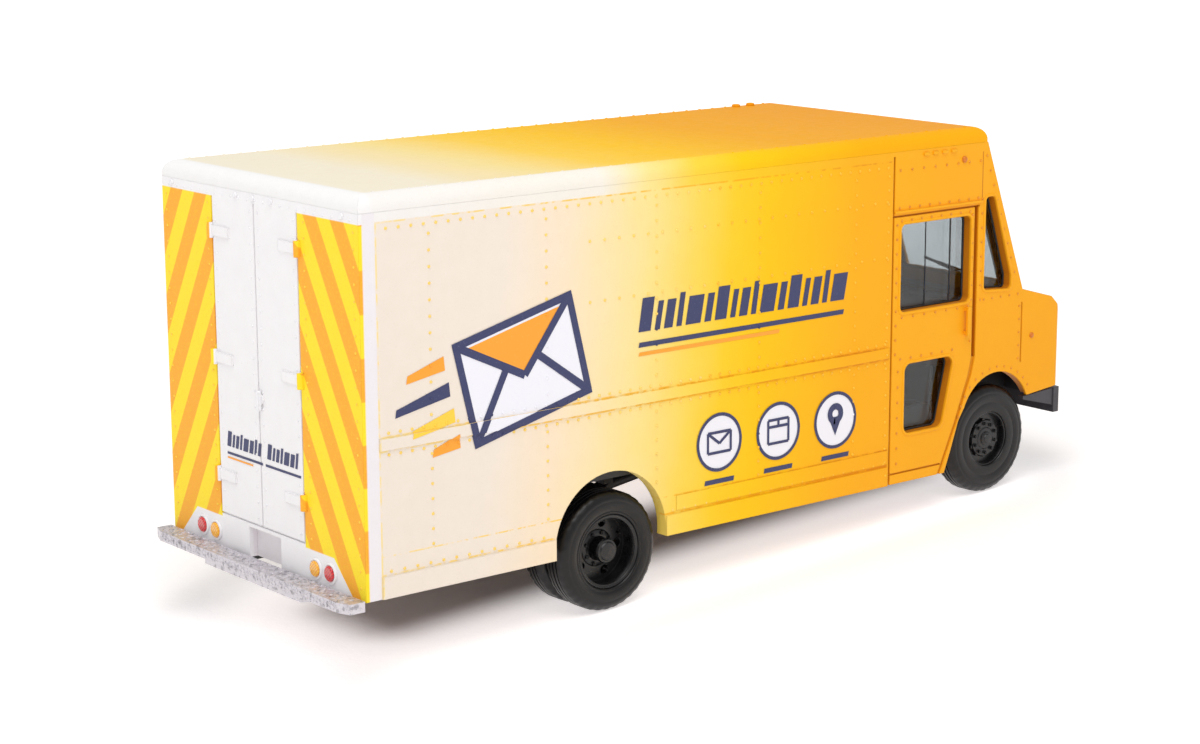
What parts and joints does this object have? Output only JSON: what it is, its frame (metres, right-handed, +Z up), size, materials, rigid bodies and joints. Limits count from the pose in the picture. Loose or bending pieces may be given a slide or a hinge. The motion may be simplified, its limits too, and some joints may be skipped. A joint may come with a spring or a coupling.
{
  "type": "mail delivery van scale model",
  "caption": "Scale model of a walk-in mail delivery step van: tall box body with short hood, clear glazing, dual rear wheels, and front and rear wheelsets that roll.",
  "frame": {"origin": "centre of the van's bounding box, on the ground under the tyres", "axes": "+X forward along the van's length, +Y to the driver's left across the width, +Z up"},
  "size_m": [0.0796, 0.029, 0.0372],
  "materials": {
    "printed_shell": "satin moulded styrene with a printed yellow to orange fade",
    "roof_plastic": "satin moulded styrene, cream fading to orange",
    "clear_glazing": "clear moulded glazing",
    "chassis_black": "matt black styrene",
    "interior_grey": "matt dark grey styrene",
    "bumper_silver": "silver-painted plastic with tread plate",
    "bumper_grey": "dark grey plastic",
    "red_lens": "red lens",
    "amber_lens": "amber lens",
    "clear_lens": "clear lens",
    "tyre_rubber": "matt black tyre",
    "rim_black": "gloss black moulded wheel",
    "axle_steel": "steel rod and screws"
  },
  "bodies": {
    "van_body": {"body_shell": "printed_shell", "roof_cap": "roof_plastic", "windscreen": "clear_glazing", "door_window_right": "clear_glazing", "door_window_left": "clear_glazing", "quarter_window_right": "clear_glazing", "quarter_window_left": "clear_glazing", "kerb_window_right": "clear_glazing", "floor_pan": "chassis_black", "ladder_frame": "chassis_black", "chassis_screws": "axle_steel", "rear_leaf_springs": "chassis_black", "front_leaf_springs": "chassis_black", "rear_axle_housing": "chassis_black", "front_axle_beam": "chassis_black", "drive_shaft": "chassis_black", "gearbox": "chassis_black", "engine_sump": "chassis_black", "fuel_tank": "chassis_black", "exhaust": "chassis_black", "rear_bumper": "bumper_silver", "rear_bumper_brackets": "chassis_black", "front_bumper": "bumper_grey", "bulkhead": "interior_grey", "seat_pedestal": "interior_grey", "driver_seat": "interior_grey", "dashboard": "interior_grey", "steering_column": "interior_grey", "steering_wheel": "interior_grey", "tail_lamps_red": "red_lens", "tail_lamps_amber": "amber_lens", "roof_vents": "roof_plastic", "rear_marker_lamps": "amber_lens", "front_marker_lamps": "amber_lens", "headlamps": "clear_lens", "turn_lamps": "amber_lens", "grille": "bumper_grey", "wipers": "chassis_black", "door_handles": "printed_shell", "rear_latch": "bumper_silver"},
    "front_wheelset": {"front_axle_rod": "axle_steel", "front_rim_left": "rim_black", "front_rim_right": "rim_black", "front_tyre_left": "tyre_rubber", "front_tyre_right": "tyre_rubber"},
    "rear_wheelset": {"rear_axle_rod": "axle_steel", "rear_rim_left": "rim_black", "rear_rim_right": "rim_black", "rear_tyre_left_outer": "tyre_rubber", "rear_tyre_right_outer": "tyre_rubber", "rear_tyre_left_inner": "tyre_rubber", "rear_tyre_right_inner": "tyre_rubber"}
  },
  "joints": [
    {"name": "front_axle_roll", "type": "hinge", "parent": "van_body", "child": "front_wheelset", "pos_m": [0.03019, 0, 0.00493], "axis": [0, 1, 0], "continuous": true},
    {"name": "rear_axle_roll", "type": "hinge", "parent": "van_body", "child": "rear_wheelset", "pos_m": [-0.01404, 0, 0.00493], "axis": [0, 1, 0], "continuous": true}
  ]
}
